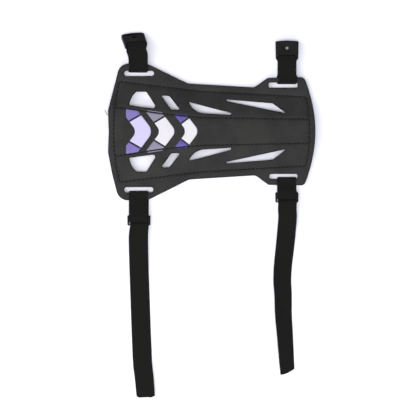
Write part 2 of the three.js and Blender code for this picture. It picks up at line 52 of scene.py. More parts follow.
def linear(hexColour):  # sRGB hex to linear
    channels = [int(hexColour[i:i + 2], 16) / 255 for i in (1, 3, 5)]
    return [c / 12.92 if c <= 0.04045 else ((c + 0.055) / 1.055) ** 2.4 for c in channels] + [1.0]


# makes a shader node with its settings, values and links, and gives the output that is wanted
def addNode(tree, kind, output, inputs=None, **settings):
    made = tree.nodes.new("ShaderNode" + kind)
    for name, value in settings.items():
        setattr(made, name, value)
    for socket, value in (inputs or {}).items():
        if isinstance(value, bpy.types.NodeSocket):
            tree.links.new(value, made.inputs[socket])
        else:
            made.inputs[socket].default_value = value
    return made.outputs[output]


def newMaterial(name, values):
    material = bpy.data.materials.new(name)
    material.use_nodes = True
    tree = material.node_tree
    shader = tree.nodes["Principled BSDF"]
    for socket, value in values.items():
        shader.inputs[socket].default_value = value
    return material, tree, shader


def dress(tree, shader, look, shade, height=None):  # a finish's two tones over a shade, and its relief
    tones = {0: shade, 6: linear(look["dark"]), 7: linear(look["light"])}
    tree.links.new(addNode(tree, "Mix", 2, tones, data_type="RGBA"), shader.inputs["Base Color"])
    if height is not None:
        rise = {"Height": height, "Strength": look["strength"], "Distance": look["depth"] * mm}
        tree.links.new(addNode(tree, "Bump", "Normal", rise), shader.inputs["Normal"])


def perMetre(sizeMm):  # texture scale that makes one cell this many millimetres
    return 1 / (sizeMm * mm)


# Small tools for shapes, all in millimetres

arcStep, straight = math.radians(9), 1e-4  # turn between the points of an arc, and a turn that needs no arc


def roundCorners(corners, closed=True):  # corner rows are x, y, radius
    points = []
    count = len(corners)
    for i, (x, y, radius) in enumerate(corners):
        here = Vector((x, y))
        if not radius or (not closed and i in (0, count - 1)):
            points.append(here)
            continue
        back = (Vector(corners[i - 1][:2]) - here).normalized()
        onward = (Vector(corners[(i + 1) % count][:2]) - here).normalized()
        half = math.acos(max(-1.0, min(1.0, back.dot(onward)))) / 2
        sweep = math.pi - 2 * half
        if sweep < straight:
            points.append(here)
            continue
        centre = here + (back + onward).normalized() * (radius / math.sin(half))
        start = here + back * (radius / math.tan(half)) - centre
        side = math.copysign(1, onward.x * back.y - onward.y * back.x)
        steps = max(1, math.ceil(sweep / arcStep))
        for k in range(steps + 1):
            angle = side * sweep * k / steps
            cos, sin = math.cos(angle), math.sin(angle)
            points.append(centre + Vector((start.x * cos - start.y * sin, start.x * sin + start.y * cos)))
    return points


def densify(points, step, closed=True):  # extra points on the long stretches
    made = []
    ends = len(points) if closed else len(points) - 1
    for i in range(ends):
        a, b = points[i], points[(i + 1) % len(points)]
        parts = max(1, math.ceil((b - a).length / step))
        made += [a.lerp(b, k / parts) for k in range(parts)]
    return made if closed else made + [points[-1]]


def anticlockwise(points):
    area = sum(a.x * b.y - b.x * a.y for a, b in zip(points, points[1:] + points[:1]))
    return points if area > 0 else points[::-1]


def mirrored(corners):
    return [(row[0], -row[1], *row[2:]) for row in reversed(corners)]


def offsetLine(points, distance, closed=True):  # positive goes to the left of the direction of travel
    count = len(points)
    made = []
    for i, p in enumerate(points):
        before = points[i - 1] if closed or i else p
        after = points[(i + 1) % count] if closed or i < count - 1 else p
        along = (after - before).normalized()
        made.append(p + Vector((-along.y, along.x)) * distance)
    return made


def insideLoop(loop, spots):  # which of the spots lie in a closed loop
    ring = np.array([tuple(p) for p in loop])
    x, y = spots[:, 0], spots[:, 1]
    inside = np.zeros(len(spots), bool)
    for (ax, ay), (bx, by) in zip(ring, np.roll(ring, -1, axis=0)):
        if ay == by:
            continue
        crosses = ((ay > y) != (by > y)) & (x < ax + (bx - ax) * (y - ay) / (by - ay))
        inside ^= crosses
    return inside


def pointTree(points):  # finds the nearest of a set of points
    tree = kdtree.KDTree(len(points))
    for i, p in enumerate(points):
        tree.insert((p.x, p.y, 0), i)
    tree.balance()
    return tree


def nearTree(lines, closed=True, step=0.1):  # finds the distance to a set of lines
    return pointTree([p for line in lines for p in densify(line, step, closed)])


def insideShape(border, gaps, spots):  # which of them lie in the border and in none of the gaps
    inside = insideLoop(border, spots)
    for gap in gaps:
        inside &= ~insideLoop(gap, spots)
    return inside


def nearest(tree, spots):
    return np.array([tree.find((x, y, 0))[2] for x, y in spots])


def quarterRound(distance, radius):  # drop of a rounded rim at a distance from its edge
    inward = np.clip(radius - distance, 0, radius)
    return radius - np.sqrt(radius ** 2 - inward ** 2)


def addObject(name, data):
    made = bpy.data.objects.new(name, data)
    bpy.context.scene.collection.objects.link(made)
    return made


def meshPiece(name, points, faces, materials, faceMaterials=None):  # points in row-frame millimetres
    mesh = bpy.data.meshes.new(name)
    mesh.from_pydata([tuple(c * mm for c in p) for p in points], [], faces)
    for material in materials:
        mesh.materials.append(material)
    if faceMaterials is not None:
        mesh.polygons.foreach_set("material_index", np.array(faceMaterials, np.int32))
    mesh.polygons.foreach_set("use_smooth", np.ones(len(mesh.polygons), bool))
    mesh.update()
    return addObject(name, mesh)


def joinShapes(shapes):  # several (points, faces) lists as one
    points, faces = [], []
    for morePoints, moreFaces in shapes:
        start = len(points)
        points += morePoints
        faces += [[start + i for i in face] for face in moreFaces]
    return points, faces


# Finishes

# sizes and depths in millimetres, strength of the relief, and the two tones
grain = {
    "pebble": 0.9, "crease": 3.5, "cloud": 22, "depth": 0.2, "strength": 0.9,
    "dark": "#222222", "light": "#2b2b2a",
}


def syntheticLeather():
    # PU leather, embossed after coating: dull black, a pebbled grain breaks its sheen into specks
    # the real pebbles are about 0.4 mm, drawn at 0.9 mm so that they show
    material, tree, shader = newMaterial("embossed_pu_leather", {"IOR": 1.5, "Specular IOR Level": 0.15})
    spot = addNode(tree, "TexCoord", "Object")
    pebbles = addNode(tree, "TexVoronoi", "Distance", {"Vector": spot, "Scale": perMetre(grain["pebble"])},
                      feature="SMOOTH_F1")
    creases = addNode(tree, "TexNoise", "Fac",
                      {"Vector": spot, "Scale": perMetre(grain["crease"]), "Detail": 6.0})
    cloud = addNode(tree, "TexNoise", "Fac",
                    {"Vector": spot, "Scale": perMetre(grain["cloud"]), "Detail": 3.0})
    tone = addNode(tree, "MapRange", "Result", {"Value": cloud, "From Min": 0.35, "From Max": 0.65})
    rough = addNode(tree, "MapRange", "Result", {"Value": creases, "To Min": 0.55, "To Max": 0.72})
    dress(tree, shader, grain, tone, addNode(tree, "Math", 0, {0: pebbles, 1: creases}, operation="ADD"))
    tree.links.new(rough, shader.inputs["Roughness"])
    return material


core = {"pore": 0.35, "depth": 0.1, "strength": 0.6, "dark": "#101010", "light": "#1a1a1a"}


def foamEdge():
    # EVA foam, die cut: flat black with open pores, painted darker in their hollows as shade
    material, tree, shader = newMaterial("die_cut_eva_foam", {"Roughness": 0.9, "Specular IOR Level": 0.2})
    spot = addNode(tree, "TexCoord", "Object")
    pores = addNode(tree, "TexVoronoi", "Distance", {"Vector": spot, "Scale": perMetre(core["pore"])})
    # the pore relief also darkens the colour: painted shade in the pits
    dress(tree, shader, core, pores, pores)
    return material


# tones of the cut edge finish, also painted on the top beside each cut as rim shade
rimShadeTones = {"mottle": 2.5, "dark": "#060606", "light": "#0c0c0c"}


def cutEdgeAndRimShade():
    # PU leather edge: a smooth darker finish on the cut wall, also used as painted shade on a thin band of
    # the top round every cut
    material, tree, shader = newMaterial("pu_cut_edge_and_painted_rim_shade", {
        "Roughness": 0.6, "IOR": 1.5, "Specular IOR Level": 0.25})
    spot = addNode(tree, "TexCoord", "Object")
    rimShadeMottle = addNode(tree, "TexNoise", "Fac",
                    {"Vector": spot, "Scale": perMetre(rimShadeTones["mottle"]), "Detail": 3.0})
    dress(tree, shader, rimShadeTones, rimShadeMottle)
    return material


knit = {
    "loop": 0.9, "row": 0.6, "gap": 0.12, "nap": 1.5, "depth": 0.15, "strength": 0.5,
    "dark": "#161617", "light": "#242425",
}


def tricotLining():
    # brushed tricot, warp knitted: soft black rows of small loops with a faint nap of random tone, painted
    # darker as shade in the gaps between loops
    material, tree, shader = newMaterial("brushed_tricot", {
        "Roughness": 0.95, "Specular IOR Level": 0.15, "Sheen Weight": 0.15, "Sheen Roughness": 0.5})
    spot = addNode(tree, "TexCoord", "Object")
    loops = addNode(tree, "TexBrick", "Fac", {
        "Vector": spot, "Scale": 1.0, "Mortar Size": knit["gap"] * mm, "Mortar Smooth": 1.0,
        "Brick Width": knit["loop"] * mm, "Row Height": knit["row"] * mm})
    nap = addNode(tree, "TexNoise", "Fac", {"Vector": spot, "Scale": perMetre(knit["nap"]), "Detail": 5.0})
    # random nap tone, less the gaps between loops: painted shade where the relief dips
    shade = addNode(tree, "Math", 0, {0: nap, 1: loops}, operation="SUBTRACT")
    dress(tree, shader, knit, shade, shade)
    return material


yarn = {"twist": 0.5, "dark": "#030303", "light": "#080808"}


def sewingThread():
    # bonded polyester thread, twisted: black with a thin line of light along each stitch
    material, tree, shader = newMaterial("bonded_polyester_thread", {
        "Roughness": 0.5, "IOR": 1.53, "Specular IOR Level": 0.15})
    spot = addNode(tree, "TexCoord", "Object")
    twist = addNode(tree, "TexNoise", "Fac",
                    {"Vector": spot, "Scale": perMetre(yarn["twist"]), "Detail": 2.0})
    dress(tree, shader, yarn, twist)
    return material


weave = {
    "float": 1.5, "rib": 1.1, "gap": 0.16, "lintPerMm": 0.35, "depth": 0.15, "strength": 0.5,
    "dark": "#0c0c0b", "light": "#151514",
}


def elasticWebbing():
    # woven elastic, polyester over rubber: dead black, lengthwise ribs crossed by short floats, painted
    # darker as shade in the gaps between floats
    # the real floats are about 0.7 mm long, drawn at twice that so that they show
    material, tree, shader = newMaterial("woven_polyester_elastic", {
        "Roughness": 0.85, "IOR": 1.53, "Specular IOR Level": 0.12,
        "Sheen Weight": 0.02, "Sheen Roughness": 0.4})
    along = addNode(tree, "UVMap", "UV", uv_map="webbingMm")
    floats = addNode(tree, "TexBrick", "Fac", {
        "Vector": along, "Scale": 1.0, "Mortar Size": weave["gap"], "Mortar Smooth": 1.0,
        "Brick Width": weave["float"], "Row Height": weave["rib"]})
    lint = addNode(tree, "TexNoise", "Fac", {"Vector": along, "Scale": weave["lintPerMm"], "Detail": 5.0})
    # random lint tone, less the gaps between floats: painted shade where the relief dips
    shade = addNode(tree, "Math", 0, {0: lint, 1: floats}, operation="SUBTRACT")
    crown = addNode(tree, "Math", 0, {0: 1.0, 1: floats}, operation="SUBTRACT")
    dress(tree, shader, weave, shade, crown)
    return material


acetal = {"spark": 0.4, "flow": 6, "depth": 0.05, "strength": 0.2, "dark": "#0c0c0c", "light": "#121211"}


def acetalPlastic():
    # acetal, injection moulded: black with a satin spark-eroded face and bright thin edges
    material, tree, shader = newMaterial("moulded_acetal", {"IOR": 1.48, "Specular IOR Level": 0.1})
    spot = addNode(tree, "TexCoord", "Object")
    spark = addNode(tree, "TexNoise", "Fac",
                    {"Vector": spot, "Scale": perMetre(acetal["spark"]), "Detail": 4.0})
    flow = addNode(tree, "TexNoise", "Fac",
                   {"Vector": spot, "Scale": perMetre(acetal["flow"]), "Detail": 2.0})
    rough = addNode(tree, "MapRange", "Result", {"Value": flow, "To Min": 0.42, "To Max": 0.58})
    dress(tree, shader, acetal, flow, spark)
    tree.links.new(rough, shader.inputs["Roughness"])
    return material


linen = {"cloud": 5, "thread": 0.8, "gap": 0.1, "depth": 0.05, "strength": 0.15}


def tpuFilm(name, hexColour, hexShade):
    # TPU film, calendered and heat bonded: an even satin colour with a faint linen press mark
    material, tree, shader = newMaterial(name, {"Roughness": 0.5, "IOR": 1.5, "Specular IOR Level": 0.35})
    spot = addNode(tree, "TexCoord", "Object")
    cloud = addNode(tree, "TexNoise", "Fac",
                    {"Vector": spot, "Scale": perMetre(linen["cloud"]), "Detail": 4.0})
    press = addNode(tree, "TexBrick", "Fac", {
        "Vector": spot, "Scale": 1.0, "Mortar Size": linen["gap"] * mm, "Mortar Smooth": 1.0,
        "Brick Width": linen["thread"] * mm, "Row Height": linen["thread"] * mm})
    tone = addNode(tree, "MapRange", "Result", {"Value": cloud, "From Min": 0.3, "From Max": 0.7})
    dress(tree, shader, linen | {"dark": hexShade, "light": hexColour}, tone, press)
    return material


leather, edge, foam, lining = syntheticLeather(), cutEdgeAndRimShade(), foamEdge(), tricotLining()
thread, webbing, plastic = sewingThread(), elasticWebbing(), acetalPlastic()
print("finishes made")


# Guard panel: PU leather over a foam core, folded along its seams

guard = {
    "length": 175.8, "thick": 3.0, "foot": 1.4, "crown": 6.0,
    "foldRound": 2.5,  # half-width of the soft bend at a fold
    "puff": 0.3, "puffReach": 5.0,  # swell of the leather between seams
    "rim": 0.55, "underRim": 0.35,  # rounding of the cut edges, top and underside
    "skin": 0.9, "backing": 0.6, "corePinch": 0.15,  # layers that show on a cut edge
    "rimShade": 0.75, "rimShadeSlack": 0.05,  # width of the darker band painted along each cut edge as rim shade
    "ripple": 0.1, "rippleSize": 14.0,
    "elbowTab": 57.8, "wristTab": 45.7,
    "wristRadius": 118.4, "wristHalf": 0.36,  # arc of the wrist end, half its angle in radians
    "elbowDip": 0.7, "dipRound": 20,  # notch in the middle of the elbow end
}
spacing = {  # of the points that the panel is meshed from
    "edge": 0.8, "grid": 1.9, "loop": 0.6,
    "edgeRows": (0.12, 0.3, guard["rim"], guard["rimShade"], 1.1),  # rows beside a cut edge
    "crowded": 0.85,  # share of its distance that a row keeps to every other edge
    "seamToEdge": 0.7, "gridToEdge": 0.9, "rowToLoop": 0.09, "gridToRow": 0.95, "gridPast": 1,
    "arcPoints": 49, "farOff": 9.0,  # farOff stands for a place away from every edge and seam
}
foldRows = {  # fold lines along the panel: half-widths of the flat centre strip and of the raised part
    "x": [-2, 45, 78, 178],
    "centre": [22.2, 15.1, 11.9, 10.1],
    "raised": [44.2, 38.4, 34.3, 28.7],
}
upperCorners = [  # elbow end to wrist end: x, y, radius
    (0, 17.5, 5), (10, 58, 9.5), (33, 57.9, 13), (67.5, 40.9, 10), (124.2, 37.4, 6), (135.6, 45.5, 4),
    (166.5, 46.1, 4.4),
]
lowerCorners = [  # the soft lower tabs lie spread a little further than the upper ones
    (0, -17.5, 5), (3.5, -36.8, 60), (9, -58.3, 9.5), (33.4, -58.2, 13), (68.6, -40.7, 10),
    (125.2, -37.3, 6), (136, -45.4, 4), (166.5, -45.9, 3.6),
]
vents = {  # upper side strip, mirrored for the lower one: x, y, radius
    "elbow": [(17.9, 22.3, 0.8), (19.5, 29.1, 15), (23.9, 34, 2), (32.3, 34, 0.8), (42, 19.1, 2)],
    "slant": [(44.9, 30.7, 0.8), (51.9, 30.4, 2.5), (61.2, 18.3, 0.8), (53.6, 18.5, 2.5)],
    "leaf": [(68.3, 25.1, 0.5), (104.4, 15.6, 0.6), (104.4, 13.9, 0.6), (72.6, 15.9, 15)],
    "spike": [(100.6, 27.2, 0.6), (139.7, 23.85, 1), (151.6, 15.1, 0.45), (100.6, 25.85, 0.6)],
}
strapSlots = {  # centre, size and corner radius
    ("elbow", "upper"): {"x": 26.2, "y": 49.55, "length": 25.6, "width": 4.5, "r": 2.2},
    ("elbow", "lower"): {"x": 25.8, "y": -49.35, "length": 24.8, "width": 4.5, "r": 2.2},
    ("wrist", "upper"): {"x": 148.7, "y": 39.4, "length": 24.6, "width": 4.5, "r": 1.3},
    ("wrist", "lower"): {"x": 148.85, "y": -38.3, "length": 23.9, "width": 4.3, "r": 1.4},
}
# pressed groove, the rows of points beside it, and its lines: x, y, or x where a fold seam starts and ends
seam = {"depth": 0.42, "half": 0.75, "underDepth": 0.2, "rows": (0.25, 0.5, 0.8, 1.3), "step": 1.0}
elbowSeam = [(4.9, 0), (5.4, 14.9), (6.7, 27.4), (9.6, 42.8)]
wristSeam = [(170.9, 0), (170.6, 11), (169.8, 20.5), (168.3, 29.3)]
foldSeams = [("centre", 6, 170.4), ("raised", 9.6, 168.3)]


def toRow(x, y, z):  # panel millimetres to row-frame millimetres
    return (x + elbowX, y + axisY, z)


def foldAt(x, column):
    return np.interp(x, foldRows["x"], foldRows[column])


def softRamp(t, width):  # zero, then a soft bend, then a straight climb
    return np.where(t < -width, 0, np.where(t > width, t, (t + width) ** 2 / (4 * width)))


def undersideHeight(x, y):
    centre, raised = foldAt(x, "centre"), foldAt(x, "raised")
    slope = (guard["crown"] - guard["foot"]) / (raised - centre)
    across = np.abs(y)
    bend = guard["foldRound"]
    return guard["crown"] - slope * (softRamp(across - centre, bend) - softRamp(across - raised, bend))


def panelOutline():
    radius, half = guard["wristRadius"], guard["wristHalf"]
    centre = guard["length"] - radius
    arc = [(centre + radius * math.cos(a), radius * math.sin(a), 0)
           for a in np.linspace(-half, half, spacing["arcPoints"])]
    return roundCorners([*arc, *upperCorners[::-1], (guard["elbowDip"], 0, guard["dipRound"]), *lowerCorners])


def slotOutline(slot):
    left, right = slot["x"] - slot["length"] / 2, slot["x"] + slot["length"] / 2
    low, high = slot["y"] - slot["width"] / 2, slot["y"] + slot["width"] / 2
    corners = ((left, low), (right, low), (right, high), (left, high))
    return roundCorners([(x, y, slot["r"]) for x, y in corners])


def seamLines():
    lines = [mirrored(line[1:]) + line for line in (elbowSeam, wristSeam)]
    for column, start, end in foldSeams:
        stops = [start, *foldRows["x"][1:-1], end]
        lines += [[(x, side * float(foldAt(x, column))) for x in stops] for side in (1, -1)]
    return [densify([Vector(p) for p in line], seam["step"], closed=False) for line in lines]


outline = densify(panelOutline(), spacing["edge"])
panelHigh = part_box("guard_panel")[1]
elbowX = panelHigh.x / mm - guard["length"]  # row-frame place of the panel's elbow end
axisY = panelHigh.y / mm - max(p.y for p in outline)  # and of its long axis
ventLoops = [densify(anticlockwise(roundCorners(rows)), spacing["edge"])
             for vent in vents.values() for rows in (vent, mirrored(vent))]
slotLoops = [densify(slotOutline(slot), spacing["edge"]) for slot in strapSlots.values()]
holes = ventLoops + slotLoops
seams = seamLines()
edgeTree = nearTree([outline, *holes])
seamTree = nearTree(seams, closed=False)


def swell(x, y, edgeDistance, seamDistance):  # the leather's face, before rims and windows
    calm = np.minimum(edgeDistance, seamDistance)
    puff = guard["puff"] * (1 - np.exp(-(calm / guard["puffReach"]) ** 2))
    size = guard["rippleSize"]
    ripple = np.array([noise.noise((a / size, b / size, 0)) for a, b in zip(x, y)])
    groove = seam["depth"] * np.exp(-(seamDistance / seam["half"]) ** 2)
    return undersideHeight(x, y) + guard["thick"] + puff + guard["ripple"] * ripple - groove


def faceHeight(spots):
    return swell(spots[:, 0], spots[:, 1], nearest(edgeTree, spots), nearest(seamTree, spots))


# Chevron windows in the centre strip, and the coloured film set into them

chevron = {
    "armLean": 0.76,  # how far an arm falls back for each millimetre across
    "innerTip": 6.5,  # radius of the inner tip
    "barHalf": 0.7, "seamMargin": 0.62,
    "film": 0.7, "sunk": 0.2, "filmRim": 0.15,
    "filmRow": 0.06, "filmGrid": 1.6, "filmToRow": 0.6,  # points that a segment of film is meshed from
    "windowGap": 0.06, "windowRim": 0.22, "windowFloor": 1.0,
    "windowRow": 0.1, "wallLean": 0.05, "onRim": 0.03,  # row of points beside a window, lean of its wall
    "sliver": 0.55, "sliverSlant": 1,  # a strip of film shows past the seam, from this distance
    "ahead": 5, "across": 40,  # room that an end segment is cut from
}
# where the arms meet the axis, radius of the outer tip, where the bars cross the arms, nearest point
# to the elbow, and the sliver past the seam: its ends and how far out it reaches
chevronRows = [
    {"outer": 38.6, "inner": 24.5, "tip": 8.8, "barInner": 8.6, "barOuter": 14.2, "cap": 15.3,
     "sliver": None},
    {"outer": 57.9, "inner": 44.8, "tip": 6.5, "barInner": 7.5, "barOuter": 12.9, "cap": 30,
     "sliver": (34, 45.8, 1.3)},
    {"outer": 77.4, "inner": 66.8, "tip": 6.5, "barInner": 6.5, "barOuter": 11.6, "cap": 50,
     "sliver": (57, 67, 0.95)},
]


def keepUnder(loop, over):  # the part of a closed line where over is below zero
    kept = []
    for i, p in enumerate(loop):
        j = (i + 1) % len(loop)
        if over[i] <= 0:
            kept.append(p)
        if over[i] * over[j] < 0:
            kept.append(p.lerp(loop[j], over[i] / (over[i] - over[j])))
    return kept


def clip(polygon, p, q, away):  # keeps what lies right of the line p to q, moved left by away
    along = (q - p).normalized()
    left = Vector((-along.y, along.x))
    return keepUnder(polygon, [left.dot(v - p) - away for v in polygon])


def crossing(p, q, r, s):  # where line p q meets line r s
    d, e = q - p, s - r
    t = ((r.x - p.x) * e.y - (r.y - p.y) * e.x) / (d.x * e.y - d.y * e.x)
    return p + d * t


def underSeam(polygon, margin):  # cuts a segment to the fold seam, which bows towards the axis
    fine = densify(polygon, spacing["loop"])
    kept = keepUnder(fine, [p.y - float(foldAt(p.x, "centre")) + margin for p in fine])
    return [Vector((p.x, min(p.y, float(foldAt(p.x, "centre")) - margin)))
            for p in densify(kept, spacing["loop"])]


def chevronOutlines(row, grow):  # grow widens the film's outline to that of its window
    lean, reach = chevron["armLean"], chevron["across"]
    normal = math.hypot(1, lean)
    outerTip = Vector((row["outer"] + grow * normal, 0))
    innerTip = Vector((row["inner"] - grow * normal, 0))
    arm = Vector((-lean, 1))
    barStart = Vector((row["inner"] - lean * row["barInner"], row["barInner"]))
    barEnd = Vector((row["outer"] - lean * row["barOuter"], row["barOuter"]))
    bar = (barEnd - barStart).normalized()
    barSide = Vector((-bar.y, bar.x))
    shift = barSide * (grow - chevron["barHalf"])
    a = crossing(outerTip, outerTip + arm, barStart + shift, barEnd + shift)
    b = crossing(innerTip, innerTip + arm, barStart + shift, barEnd + shift)
    centre = roundCorners([(a.x, -a.y, 0), (*outerTip, row["tip"] + grow), (*a, 0),
                           (*b, 0), (*innerTip, chevron["innerTip"] - grow), (b.x, -b.y, 0)])
    near, far = row["cap"] - grow, row["outer"] + chevron["ahead"]
    polygon = [Vector(p) for p in ((near, 0), (far, 0), (far, reach), (near, reach))]
    polygon = clip(polygon, outerTip + arm * reach, outerTip, 0)
    polygon = clip(polygon, innerTip, innerTip + arm * reach, 0)
    polygon = clip(polygon, barEnd, barStart, grow - chevron["barHalf"])
    upper = [[tuple(p) for p in underSeam(polygon, chevron["seamMargin"] - grow)]]
    if row["sliver"]:
        start, end, out = row["sliver"]
        low, high, slant = chevron["sliver"] - grow, out + grow, chevron["sliverSlant"]
        stops = [(start - grow - slant, low), (end + grow + slant, low),
                 (end + grow, high), (start - grow, high)]
        upper.append([(x, float(foldAt(x, "centre")) + past) for x, past in stops])
    lower = [mirrored(loop) for loop in upper]
    return {"centre": [[tuple(p) for p in centre]], "upper": upper, "lower": lower}


def toLoop(corners):
    return densify(anticlockwise([Vector(p[:2]) for p in corners]), spacing["loop"])


windowLoops = [toLoop(loop) for row in chevronRows
               for loops in chevronOutlines(row, chevron["windowGap"]).values() for loop in loops]
floorLoops = [offsetLine(loop, chevron["wallLean"]) for loop in windowLoops]
windowTree = nearTree(windowLoops)

samePlace = 1e-4  # points nearer than this are one
rowRise = 0.866  # of a row of equilateral triangles, as a share of their side


def triangulate(loops, loose):  # flat triangles over closed loops and loose points
    points, edges = [], []
    for loop in loops:
        start = len(points)
        points += loop
        edges += [(start + i, start + (i + 1) % len(loop)) for i in range(len(loop))]
    made = delaunay_2d_cdt(points + loose, edges, [], 0, samePlace)
    return np.array([tuple(v) for v in made[0]]), np.array([list(f) for f in made[2]])


def thinOut(candidates, kept, apart):  # candidates that keep their distance from the points already there
    tree = pointTree(kept)
    return [p for p in candidates if tree.find((p.x, p.y, 0))[2] > apart]


def hexGrid(low, high, step):
    rows = int((high.y - low.y) / (step * rowRise)) + 1
    columns = int((high.x - low.x) / step) + 1
    return [Vector((low.x + (c + 0.5 * (r % 2)) * step, low.y + r * step * rowRise))
            for r in range(rows) for c in range(columns)]


def edgeRows(loops, distances):  # rows of points beside cut edges, left out where a corner crowds them
    rows = []
    for distance in distances:
        for loop in loops:
            beside = offsetLine(loop, distance)
            far = nearest(edgeTree, np.array([tuple(p) for p in beside]))
            rows += [p for p, d in zip(beside, far) if d > spacing["crowded"] * abs(distance)]
    return rows


def inMaterial(points, margin):  # the points that lie on the panel, this far from its edges
    spots = np.array([tuple(p) for p in points])
    keep = insideShape(outline, holes, spots) & (nearest(edgeTree, spots) > margin)
    return [p for p, k in zip(points, keep) if k]


# a closed slab with stepped walls; each layer but the last has the height of its lower edge and an inset
def slabShape(spots, triangles, top, bottom, layers):
    count = len(spots)
    points = [(x, y, z) for (x, y), z in zip(spots, top)] + [(x, y, z) for (x, y), z in zip(spots, bottom)]
    faces = [list(t) for t in triangles] + [[a + count, c + count, b + count] for a, b, c in triangles]
    groups = [0] * len(triangles) + [len(layers)] * len(triangles)
    directed = {(t[i], t[(i + 1) % 3]) for t in triangles.tolist() for i in range(3)}
    border = [(a, b) for a, b in directed if (b, a) not in directed]
    outward = {}
    for a, b in border:
        along = Vector(spots[b] - spots[a]).normalized()
        for v in (a, b):
            outward[v] = outward.get(v, Vector((0, 0))) + Vector((along.y, -along.x))
    rows = []
    for heightOf, inset in layers[:-1]:
        row = {}
        for v, side in outward.items():
            place = Vector(spots[v]) - side.normalized() * inset
            row[v] = len(points)
            points.append((place.x, place.y, heightOf(top[v], bottom[v])))
        rows.append(row)
    rows = [{v: v for v in outward}, *rows, {v: v + count for v in outward}]
    for level, (high, low) in enumerate(zip(rows, rows[1:])):
        for a, b in border:
            faces.append([high[a], low[a], low[b], high[b]])
            groups.append(level)
    return points, faces, groups


def buildPanel():
    rim = guard["rim"]
    rows = edgeRows([outline], spacing["edgeRows"])
    rows += edgeRows(holes, [-d for d in spacing["edgeRows"]])
    windowRows = (-chevron["windowRow"], -chevron["windowRim"])
    rows += [p for d in windowRows for loop in windowLoops for p in offsetLine(loop, d)]
    seamRows = (0, *seam["rows"], *(-r for r in seam["rows"]))
    for line in seams:
        beside = [p for d in seamRows for p in offsetLine(line, d, closed=False)]
        rows += inMaterial(beside, spacing["seamToEdge"])
    loops = [outline, *holes, *windowLoops, *floorLoops]
    fixed = [p for loop in loops for p in loop]
    rows = thinOut(rows, fixed, spacing["rowToLoop"])
    side = guard["elbowTab"] + spacing["gridPast"]
    grid = hexGrid(Vector((0, -side)), Vector((guard["length"], side)), spacing["grid"])
    grid = thinOut(inMaterial(grid, spacing["gridToEdge"]), fixed + rows, spacing["gridToRow"])
    spots, triangles = triangulate(loops, rows + grid)
    triangles = triangles[insideShape(outline, holes, spots[triangles].mean(axis=1))]

    x, y = spots[:, 0], spots[:, 1]
    edgeDistance, seamDistance = nearest(edgeTree, spots), nearest(seamTree, spots)
    windowDistance = nearest(windowTree, spots)
    inWindow = np.zeros(len(spots), bool)
    for loop in windowLoops:
        inWindow |= insideLoop(loop, spots)
    inWindow &= windowDistance > chevron["onRim"]
    face = swell(x, y, edgeDistance, seamDistance)
    windowDrop = quarterRound(np.where(inWindow, spacing["farOff"], windowDistance), chevron["windowRim"])
    top = face - quarterRound(edgeDistance, rim) - windowDrop
    top = np.where(inWindow, face - chevron["windowFloor"], top)
    under = undersideHeight(x, y) + seam["underDepth"] * np.exp(-(seamDistance / seam["half"]) ** 2)
    under += quarterRound(edgeDistance, guard["underRim"])

    skin, backing = guard["skin"] - rim, guard["backing"] - guard["underRim"]
    layers = [
        (lambda high, low: high - skin, 0.0),
        (lambda high, low: (high + low) / 2, guard["corePinch"]),
        (lambda high, low: low + backing, 0.0),
        None,
    ]
    points, faces, groups = slabShape(spots, triangles, top, under, layers)
    finishes = [leather, foam, lining, edge]
    shown = [(0, 3, 1, 2, 2)[group] for group in groups]  # leather, cut edge, foam core, lining
    # top faces within this band of a cut edge take the dark edge finish: painted shade along the rim
    rimShade = (edgeDistance[triangles] < guard["rimShade"] + guard["rimShadeSlack"]).all(axis=1)
    shown[:len(triangles)] = np.where(rimShade, 3, 0).tolist()
    piece = meshPiece("forearm_panel", [toRow(*p) for p in points], faces, finishes, shown)
    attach(piece, "root")
    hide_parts("guard_panel")
    print("panel:", len(points), "points,", len(faces), "faces")


def filmShape(corners):  # one segment of film that follows the face of the panel
    loop = toLoop(corners)
    rim = chevron["filmRim"]
    rows = [p for d in (chevron["filmRow"], rim) for p in offsetLine(loop, d)]
    low = Vector((min(p.x for p in loop), min(p.y for p in loop)))
    high = Vector((max(p.x for p in loop), max(p.y for p in loop)))
    grid = hexGrid(low, high, chevron["filmGrid"])
    inside = insideLoop(loop, np.array([tuple(p) for p in grid]))
    grid = thinOut([p for p, k in zip(grid, inside) if k], loop + rows, chevron["filmToRow"])
    spots, triangles = triangulate([loop], rows + grid)
    triangles = triangles[insideLoop(loop, spots[triangles].mean(axis=1))]
    far = np.full(len(spots), spacing["farOff"])
    face = swell(spots[:, 0], spots[:, 1], far, far) - chevron["sunk"]
    top = face - quarterRound(nearest(nearTree([loop]), spots), rim)
    points, faces, groups = slabShape(spots, triangles, top, face - chevron["film"], [None])
    return points, faces


filmTones = [  # for each chevron: centre and its shade, ends and their shade
    ("#bbb5d6", "#b7b1d2", "#6d61a0", "#685c9b"),
    ("#cdcad1", "#c9c6cd", "#7b788c", "#767388"),
    ("#cdccd1", "#c9c8cd", "#4e4590", "#49408a"),
]


def buildChevrons():
    for number, (row, tones) in enumerate(zip(chevronRows, filmTones), 1):
        centreFilm = tpuFilm(f"tpu_film_{number}_centre", *tones[:2])
        endFilm = tpuFilm(f"tpu_film_{number}_ends", *tones[2:])
        for segment, loops in chevronOutlines(row, 0).items():
            points, faces = joinShapes([filmShape(loop) for loop in loops])
            film = centreFilm if segment == "centre" else endFilm
            piece = meshPiece(f"film_{number}_{segment}", [toRow(*p) for p in points], faces, [film])
            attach(piece, "root")
            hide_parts(f"chevron_{number}_{segment}")
    print("chevrons made")


# Lockstitch along the seams

